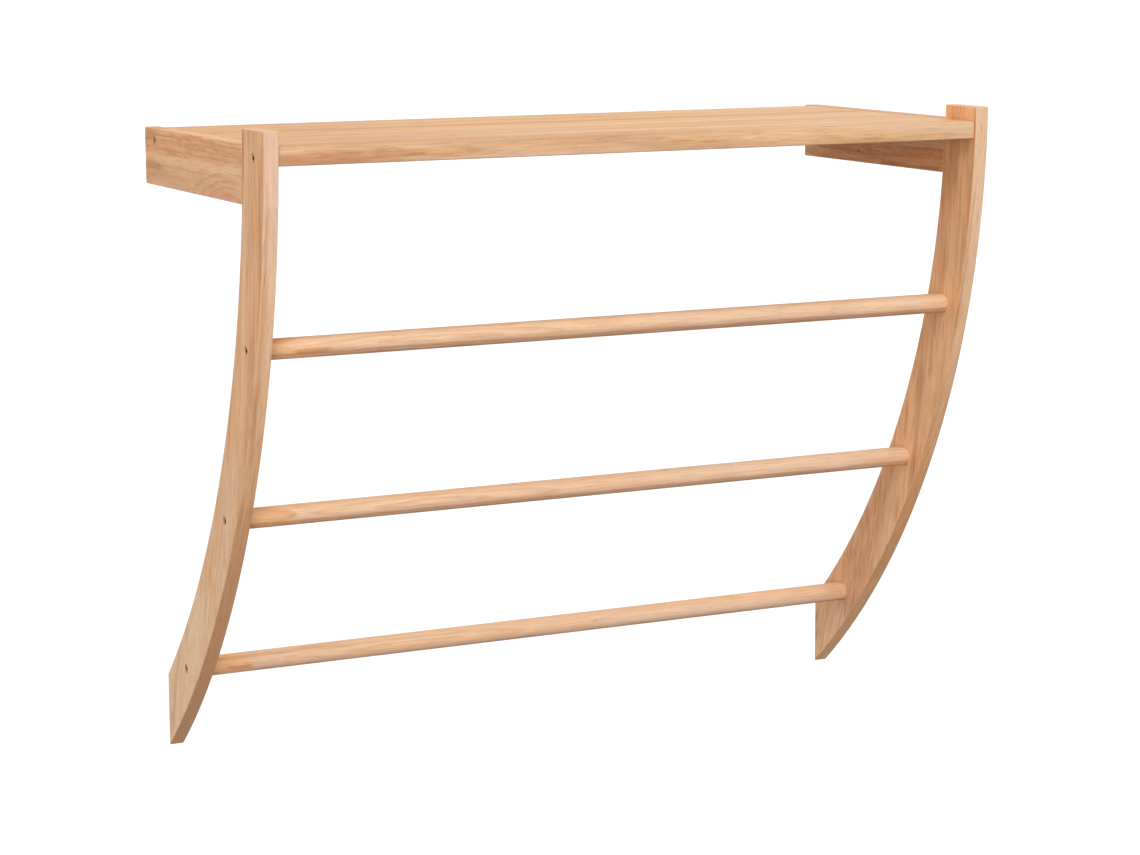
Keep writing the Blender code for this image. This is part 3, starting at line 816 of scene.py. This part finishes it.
def laid_on_edges(tree, vector, edge):
    """Coordinates drawn out across the width on a board's edges, which show its layers end to end."""
    share = remap(tree, edge, 0.0, 1.0, 1.0, EDGE_FIGURE)
    return reckon_vector(tree, "MULTIPLY", vector, put(
        tree, "ShaderNodeCombineXYZ", {"X": 1.0, "Y": 1.0, "Z": share}).outputs[0])


def facing(tree, axis):
    """1 where the surface faces along an axis, 0 where it runs along it."""
    normal = put(tree, "ShaderNodeTexCoord").outputs["Normal"]
    parts = put(tree, "ShaderNodeSeparateXYZ", {"Vector": normal}).outputs
    return reckon(tree, "ABSOLUTE", parts[axis])


def face_masks(tree, axes):
    """1 on a board's broad faces and 1 on its edges."""
    through = facing(tree, axes[1])
    return {"broad": remap(tree, through, *BROAD_RANGE), "edge": remap(tree, through, *BROAD_RANGE, 1.0, 0.0)}


def laid_over(tree, colour, mask, strength, tint):
    """A colour with a tint laid over it where the mask says, at a strength."""
    return blend(tree, reckon(tree, "MULTIPLY", mask, strength), colour, tint)


def log_colour(tree, wood, cut, lines, rings, fibres):
    """Colour of the growth rings, stripes, patches and strands, before any mark is laid over them."""
    pale, tan = (getattr(wood, tint) for tint in cut["tints"])
    stripe_width, stripe_length, stripe_strength = cut["stripes"]
    stripes = place_group(tree, "Tone patches", {
        "Vector": lines, "Width": stripe_width, "Length": stripe_length, "Spread": 0.5})
    patches = place_group(tree, "Tone patches", {
        "Vector": lines, "Width": wood.patch_width, "Length": wood.patch_length, "Spread": cut["tone"]})
    ring_strength = remap(
        tree, rings["Ring tone"], 0.0, 1.0, WEAKEST_RING * cut["rings"], STRONGEST_RING * cut["rings"])
    colour = laid_over(tree, pale, rings["Late wood"], ring_strength, tan)
    colour = laid_over(tree, colour, stripes["Mask"], stripe_strength, tan)
    colour = laid_over(tree, colour, patches["Mask"], BROWN_PATCH, wood.brown)
    colour = laid_over(tree, colour, patches["Pale"], PALE_PATCH, wood.sapwood)
    return laid_over(tree, colour, fibres["Coarse"], cut["strands"], tan)


def mark_inputs(mark, vector, coordinates):
    """Inputs that place a mark, from coordinates along, through the thickness and across the width."""
    along, through, across = coordinates
    return {
        "Vector": vector, "Across": through if mark["faces"] == "edge" else across, "Along": along,
        "Centre": mark["centre"], "Half width": mark["half_width"], "Middle": mark["middle"],
        "Half length": mark["half_length"]}


def with_flames(tree, colour, wood, cut, log, coordinates, faces):
    """A colour with the cut's arches and knots laid over it."""
    for mark in cut["flames"]:
        arches = place_group(
            tree, "Flame figure", dict(mark_inputs(mark, log, coordinates), Arches=mark["arches"]))
        place = reckon(tree, "MULTIPLY", arches["Mask"], faces[mark["faces"]])
        colour = laid_over(tree, colour, place, ARCH_GROUND, getattr(wood, cut["tints"][0]))
        line = reckon(tree, "MULTIPLY", arches["Late wood"], place)
        colour = laid_over(tree, colour, line, mark["strength"], getattr(wood, mark["tint"]))
        if mark["core"]:
            core = reckon(tree, "MULTIPLY", arches["Core"], place)
            colour = laid_over(tree, colour, core, mark["core"], wood.knot)
    return colour


def with_streaks(tree, colour, wood, cut, lines, coordinates, faces):
    """A colour with the cut's streaks laid over it, the flecked ones broken up into short dashes."""
    flecks = place_group(tree, "Wood fibres", {
        "Vector": lines, "Width": wood.fleck_width, "Length": wood.fleck_length})
    dashes = remap(tree, flecks["Fine"], *DASH_RANGE, smooth=True)
    for mark in cut["streaks"]:
        body = place_group(tree, "Long streak", mark_inputs(mark, lines, coordinates))["Mask"]
        mask = reckon(tree, "MULTIPLY", body, faces[mark["faces"]])
        if mark["flecked"]:
            mask = reckon(tree, "MULTIPLY", mask, dashes)
        colour = laid_over(tree, colour, mask, mark["strength"], getattr(wood, mark["tint"]))
    return colour


def wood_material(name, wood, axes, own_cut, board=True):
    """Oiled hardwood for one piece, with its own place in the log."""
    cut = {**PLAIN_CUT, **own_cut}
    material, tree = blank_material(name)
    grain = grain_coordinates(tree, axes)
    if cut["sweep"][0]:
        grain = swept(tree, grain, *cut["sweep"])
    grain = swayed(tree, grain, *cut["sway"])
    coordinates = put(tree, "ShaderNodeSeparateXYZ", {"Vector": grain}).outputs[:]
    moved = reckon_vector(tree, "SUBTRACT", grain, (0.0, *cut["pith"]))
    tilt = (0.0, *(radians(turn) for turn in cut["slope"]))
    log = put(tree, "ShaderNodeMapping", {
        "Vector": moved, "Location": (cut["seed"], 0.0, 0.0), "Rotation": tilt},
        vector_type="POINT").outputs[0]
    faces = face_masks(tree, axes) if board else {"broad": 1.0}
    lines = laid_on_edges(tree, log, faces["edge"]) if board else log
    cut_across = facing(tree, axes[0])
    rings = place_group(tree, "Growth rings", {
        "Vector": log, "Spacing": cut["spacing"], "Taper": cut["taper"], "Wander": cut["wander"]})
    fibres = place_group(tree, "Wood fibres", {
        "Vector": lines, "Width": wood.fibre_width * cut["coarse"], "Length": wood.fibre_length})

    colour = log_colour(tree, wood, cut, lines, rings, fibres)
    # The sapwood on a board's edges is partly paler wood and partly a painted sheen on the front faces of the
    # posts and the shelf
    if cut["edge_sapwood_and_sheen"]:
        colour = laid_over(tree, colour, faces["edge"], cut["edge_sapwood_and_sheen"], wood.sapwood)
    colour = with_flames(tree, colour, wood, cut, log, coordinates, faces)
    colour = with_streaks(tree, colour, wood, cut, lines, coordinates, faces)
    shade = remap(tree, fibres["Fine"], 0.0, 1.0, *FIBRE_SHADES)
    grey = put(tree, "ShaderNodeCombineColor", {"Red": shade, "Green": shade, "Blue": shade}).outputs[0]
    along_face = remap(tree, cut_across, *STEEP_RANGE, 1.0, 0.0)
    colour = blend(tree, along_face, colour, blend(tree, 1.0, colour, grey, "MULTIPLY"))
    colour = laid_over(tree, colour, remap(tree, cut_across, *END_GRAIN_RANGE), END_GRAIN, wood.end_grain)
    density = reckon(tree, "MULTIPLY_ADD", rings["Late wood"], PORES_IN_LATE_WOOD, cut["pores"])
    pores = place_group(tree, "Open pores", {
        "Vector": lines, "Width": wood.pore_width, "Length": wood.pore_length, "Density": density})
    pits = reckon(tree, "MULTIPLY", pores["Mask"], along_face)
    colour = laid_over(tree, colour, pits, PORE, wood.pore)
    # A paler line along every eased edge, partly rubbed wear and partly a painted highlight on the arris
    worn = place_group(tree, "Worn edges", {"Width": wood.worn_edge})
    colour = laid_over(tree, colour, worn["Mask"], WORN_EDGE_AND_HIGHLIGHT, wood.sapwood)

    roughness = remap(
        tree, fibres["Fine"], 0.0, 1.0, *(wood.gloss_roughness + change for change in ROUGHNESS_CHANGE))
    height = reckon(tree, "SUBTRACT", fibres["Fine"], reckon(tree, "MULTIPLY", pits, PORE_DEPTH))
    bump = put(tree, "ShaderNodeBump", {"Strength": WOOD_BUMP, "Distance": wood.relief, "Height": height})
    shader = put(tree, "ShaderNodeBsdfPrincipled", {
        "Base Color": colour, "Roughness": roughness, "Normal": bump.outputs[0],
        "Specular IOR Level": WOOD_SPECULAR})
    put(tree, "ShaderNodeOutputMaterial", {"Surface": shader.outputs[0]})
    return material


def smooth_faces_group():
    """Joins the split corners of a faceted solid and shades it smooth, apart from its sharp edges."""
    name = "Smooth faces"
    made = bpy.data.node_groups.get(name)
    if made:
        return made
    tree = bpy.data.node_groups.new(name, "GeometryNodeTree")
    tree.interface.new_socket("Geometry", in_out="INPUT", socket_type="NodeSocketGeometry")
    tree.interface.new_socket("Geometry", in_out="OUTPUT", socket_type="NodeSocketGeometry")
    entry = tree.nodes.new("NodeGroupInput")
    result = tree.nodes.new("NodeGroupOutput")
    joined = put(tree, "GeometryNodeMergeByDistance", {"Geometry": entry.outputs[0], "Distance": SAME_PLACE})
    bare = put(tree, "GeometryNodeRemoveAttribute", {"Geometry": joined.outputs[0], "Name": "custom_normal"})
    smooth = put(tree, "GeometryNodeSetShadeSmooth", {"Geometry": bare.outputs[0], "Shade Smooth": True},
                 domain="FACE")
    angle = put(tree, "GeometryNodeInputMeshEdgeAngle").outputs["Unsigned Angle"]
    sharp = put(tree, "FunctionNodeCompare", {"A": angle, "B": SHARP_ANGLE}, operation="GREATER_THAN")
    creased = put(tree, "GeometryNodeSetShadeSmooth", {
        "Geometry": smooth.outputs[0], "Selection": sharp.outputs[0], "Shade Smooth": False}, domain="EDGE")
    tree.links.new(creased.outputs[0], result.inputs[0])
    return tree


def dress(node_name, material):
    """Give a CAD node its material and even shading, with its shape left as it is."""
    piece = NODES[node_name]
    piece.material_slots[0].material = material
    shading = piece.modifiers.new("Smooth faces", "NODES")
    shading.node_group = smooth_faces_group()
    evening = piece.modifiers.new("Even normals", "WEIGHTED_NORMAL")
    evening.keep_sharp = True
    return piece


class RACK_OT_finish_posts(Operator):
    """Give the two curved posts their upright grain"""

    bl_idname = "rack.finish_posts"
    bl_label = "Finish Posts"

    def execute(self, context):
        for side in SIDES:
            name = side + "_post"
            material = wood_material(name + " wood", context.scene.rack_wood, POST_GRAIN, BOARD_CUTS[name])
            dress(name, material)
        return {"FINISHED"}


class RACK_OT_finish_arms(Operator):
    """Give the two side arms a grain that runs into the wall"""

    bl_idname = "rack.finish_arms"
    bl_label = "Finish Arms"

    def execute(self, context):
        for side in SIDES:
            name = side + "_arm"
            material = wood_material(name + " wood", context.scene.rack_wood, ARM_GRAIN, BOARD_CUTS[name])
            dress(name, material)
        return {"FINISHED"}


class RACK_OT_finish_shelf(Operator):
    """Give the shelf a grain that runs along the rack"""

    bl_idname = "rack.finish_shelf"
    bl_label = "Finish Shelf"

    def execute(self, context):
        material = wood_material("shelf wood", context.scene.rack_wood, SHELF_GRAIN, BOARD_CUTS["shelf"])
        dress("shelf", material)
        return {"FINISHED"}


def lifted(marks, height):
    """Marks moved up from a bar's own axis to where the bar is."""
    return [dict(mark, centre=mark["centre"] + height) for mark in marks]


class RACK_OT_finish_bars(Operator):
    """Give each towel bar its own straight grain"""

    bl_idname = "rack.finish_bars"
    bl_label = "Finish Bars"

    def execute(self, context):
        for number, name in enumerate(BARS):
            low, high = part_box(name)
            middle = (low + high) / 2
            marks = BAR_MARKS[name]
            streaks = EVERY_BARS_STREAKS + [
                # The strong orange on each bar's left end is partly the wood's colour and partly painted
                # light that brightens it where the left post shades it
                streak("orange", 0.85, "broad", 0.0, WHOLE_BAR, low.x, 0.060),
                streak("orange", 0.30, "broad", 0.0, WHOLE_BAR, high.x, 0.040)] + marks["streaks"]
            flames = [
                flame("tan", 0.55, "broad", 0.001, 0.0080, -0.140 - 0.020 * number, 0.160, 2.5),
                flame("tan", 0.40, "broad", -0.002, 0.0070, 0.170, 0.150, 2.0)] + marks["flames"]
            cut = dict(
                BAR_CUT, pith=(middle.y - BAR_PITH[0], middle.z - BAR_PITH[1]),
                slope=(0.8, -0.6 + 0.5 * number), seed=41.0 + 3.7 * number,
                streaks=lifted(streaks, middle.z), flames=lifted(flames, middle.z))
            material = wood_material(name + " wood", context.scene.rack_wood, BAR_GRAIN, cut, board=False)
            dress(name, material)
        return {"FINISHED"}


class RACK_OT_finish_dowels(Operator):
    """Give the hidden dowels between arms and posts a plain grain"""

    bl_idname = "rack.finish_dowels"
    bl_label = "Finish Dowels"

    def execute(self, context):
        material = wood_material("dowel wood", context.scene.rack_wood, ARM_GRAIN, DOWEL_CUT, board=False)
        for side in SIDES:
            for height in ("upper", "lower"):
                dress(side + "_arm_dowel_" + height, material)
        return {"FINISHED"}


class RACK_OT_finish_screws(Operator):
    """Give the screws their dark bronzed steel, with shade painted into their sockets"""

    bl_idname = "rack.finish_screws"
    bl_label = "Finish Screws"

    def execute(self, context):
        steel = context.scene.rack_steel
        material, tree = blank_material("screw steel")
        own = put(tree, "ShaderNodeTexCoord").outputs["Object"]
        finish = put(tree, "ShaderNodeTexNoise", {
            "Vector": own, "Scale": 1.0 / steel.spot_size, "Detail": 3.0}).outputs[0]
        worn = place_group(tree, "Worn edges", {"Width": steel.worn_edge})
        rubbed = reckon(tree, "MULTIPLY", worn["Mask"], remap(tree, finish, 0.35, 0.6))
        colour = blend(tree, rubbed, steel.steel, steel.rubbed)
        colour = blend(tree, remap(tree, finish, 0.4, 0.7, 0.0, 0.3), colour, steel.spot)
        # Painted shade: steel lying deeper than a set depth below the wood's face, which is the inside of
        # each socket, is laid dark
        sideways = put(tree, "ShaderNodeSeparateXYZ", {"Vector": own}).outputs["X"]
        below = reckon(tree, "SUBTRACT", cad_box[1].x, reckon(tree, "ABSOLUTE", sideways))
        painted_shade_mask = remap(tree, below, steel.painted_shade_depth, steel.painted_shade_depth * 1.5)
        colour = blend(tree, painted_shade_mask, colour, steel.grime)
        roughness = remap(tree, finish, 0.3, 0.7, steel.smoothest, steel.roughest)
        bump = put(tree, "ShaderNodeBump", {"Strength": 0.3, "Distance": steel.relief, "Height": finish})
        shader = put(tree, "ShaderNodeBsdfPrincipled", {
            "Base Color": colour, "Roughness": roughness, "Metallic": steel.metal, "Normal": bump.outputs[0]})
        put(tree, "ShaderNodeOutputMaterial", {"Surface": shader.outputs[0]})
        for name in sorted(NODES):
            if "screw" in name:
                dress(name, material)
        return {"FINISHED"}


def seen_straight(tree):
    """1 for a ray from the camera, a reflection or a refraction."""
    light = put(tree, "ShaderNodeLightPath").outputs
    glossy = reckon(tree, "MAXIMUM", light["Is Camera Ray"], light["Is Glossy Ray"])
    return reckon(tree, "MAXIMUM", glossy, light["Is Transmission Ray"])


def floor_material(stage):
    """Floor that shows nearly white, keeps a faint shadow and throws its own dull colour on the rack."""
    material, tree = blank_material("floor")
    plain = put(tree, "ShaderNodeBsdfDiffuse", {"Color": (*stage.floor_colour, 1.0)})
    shown = put(tree, "ShaderNodeBsdfDiffuse", {"Color": (*[stage.floor_grey] * 3, 1.0)})
    glow = put(tree, "ShaderNodeEmission", {"Color": WHITE, "Strength": stage.floor_glow})
    bright = put(tree, "ShaderNodeAddShader", {0: shown.outputs[0], 1: glow.outputs[0]})
    mixed = put(tree, "ShaderNodeMixShader", {
        0: seen_straight(tree), 1: plain.outputs[0], 2: bright.outputs[0]})
    put(tree, "ShaderNodeOutputMaterial", {"Surface": mixed.outputs[0]})
    return material


def white_world(stage):
    """Even light from all around, shown as plain white."""
    world = bpy.data.worlds.new("studio")
    world.use_nodes = True
    tree = world.node_tree
    tree.nodes.clear()
    strength = remap(tree, seen_straight(tree), 0.0, 1.0, stage.sky_strength, 1.0)
    background = put(tree, "ShaderNodeBackground", {"Color": WHITE, "Strength": strength})
    put(tree, "ShaderNodeOutputWorld", {"Surface": background.outputs[0]})
    return world


class RACK_OT_set_stage(Operator):
    """Set the pale floor, the soft lamps and the camera"""

    bl_idname = "rack.set_stage"
    bl_label = "Set Stage"

    def execute(self, context):
        scene = context.scene
        stage = scene.rack_stage
        low, high = cad_box
        middle = (low + high) / 2
        self.lay_floor(scene, stage, low.z - stage.floor_drop)
        key_place = middle + KEY_DIRECTION.normalized() * stage.lamp_distance
        self.hang_lamp(scene, "key lamp", key_place, middle, stage.key_power, stage.key_size)
        fill_place = middle + FILL_DIRECTION.normalized() * stage.lamp_distance
        self.hang_lamp(scene, "fill lamp", fill_place, middle, stage.fill_power, stage.fill_size)
        scene.world = white_world(stage)
        self.stand_camera(scene, stage)
        scene.view_settings.view_transform = "Standard"
        return {"FINISHED"}

    def lay_floor(self, scene, stage, height):
        built = bmesh.new()
        bmesh.ops.create_grid(
            built, x_segments=FLOOR_SQUARES, y_segments=FLOOR_SQUARES, size=stage.floor_reach)
        mesh = bpy.data.meshes.new("floor")
        built.to_mesh(mesh)
        built.free()
        mesh.materials.append(floor_material(stage))
        floor = bpy.data.objects.new("floor", mesh)
        floor.location = (0.0, 0.0, height)
        scene.collection.objects.link(floor)

    def hang_lamp(self, scene, name, place, target, power, size):
        lamp = bpy.data.lights.new(name, "AREA")
        lamp.shape = "SQUARE"
        lamp.size = size
        lamp.energy = power
        holder = bpy.data.objects.new(name, lamp)
        holder.location = place
        holder.rotation_euler = (target - place).to_track_quat("-Z", "Y").to_euler()
        scene.collection.objects.link(holder)

    def stand_camera(self, scene, stage):
        camera = bpy.data.cameras.new("camera")
        camera.lens = stage.camera_lens
        camera.shift_y = stage.camera_shift
        camera.clip_end = CAMERA_REACH
        holder = bpy.data.objects.new("camera", camera)
        holder.location = stage.camera_place
        look = Euler((pi / 2 - stage.camera_tilt, 0.0, -stage.camera_turn), "XYZ").to_matrix()
        roll = Euler((0.0, 0.0, stage.camera_roll), "XYZ").to_matrix()
        holder.rotation_euler = (look @ roll).to_euler()
        scene.collection.objects.link(holder)
        scene.camera = holder


OPERATORS = (
    RACK_OT_finish_posts,
    RACK_OT_finish_arms,
    RACK_OT_finish_shelf,
    RACK_OT_finish_bars,
    RACK_OT_finish_dowels,
    RACK_OT_finish_screws,
    RACK_OT_set_stage,
)


class RACK_PT_sidebar(Panel):
    """Lists the rack's operators and its main settings"""

    bl_label = "Towel Rack"
    bl_idname = "RACK_PT_sidebar"
    bl_space_type = "VIEW_3D"
    bl_region_type = "UI"
    bl_category = "Towel Rack"

    def draw(self, context):
        layout = self.layout
        for operator in OPERATORS:
            layout.operator(operator.bl_idname)
        for settings in (context.scene.rack_wood, context.scene.rack_steel, context.scene.rack_stage):
            column = layout.column()
            for name in settings.__annotations__:
                column.prop(settings, name)


SETTINGS = {
    "rack_wood": RackWoodSettings,
    "rack_steel": RackSteelSettings,
    "rack_stage": RackStageSettings,
}


def register():
    for settings in SETTINGS.values():
        bpy.utils.register_class(settings)
    for name, settings in SETTINGS.items():
        setattr(bpy.types.Scene, name, PointerProperty(type=settings))
    for operator in OPERATORS:
        bpy.utils.register_class(operator)
    bpy.utils.register_class(RACK_PT_sidebar)


def unregister():
    bpy.utils.unregister_class(RACK_PT_sidebar)
    for operator in reversed(OPERATORS):
        bpy.utils.unregister_class(operator)
    for name, settings in SETTINGS.items():
        delattr(bpy.types.Scene, name)
        bpy.utils.unregister_class(settings)


def main():
    register()
    bpy.ops.rack.finish_posts()
    bpy.ops.rack.finish_arms()
    bpy.ops.rack.finish_shelf()
    bpy.ops.rack.finish_bars()
    bpy.ops.rack.finish_dowels()
    bpy.ops.rack.finish_screws()
    bpy.ops.rack.set_stage()


if __name__ == "__main__":
    main()
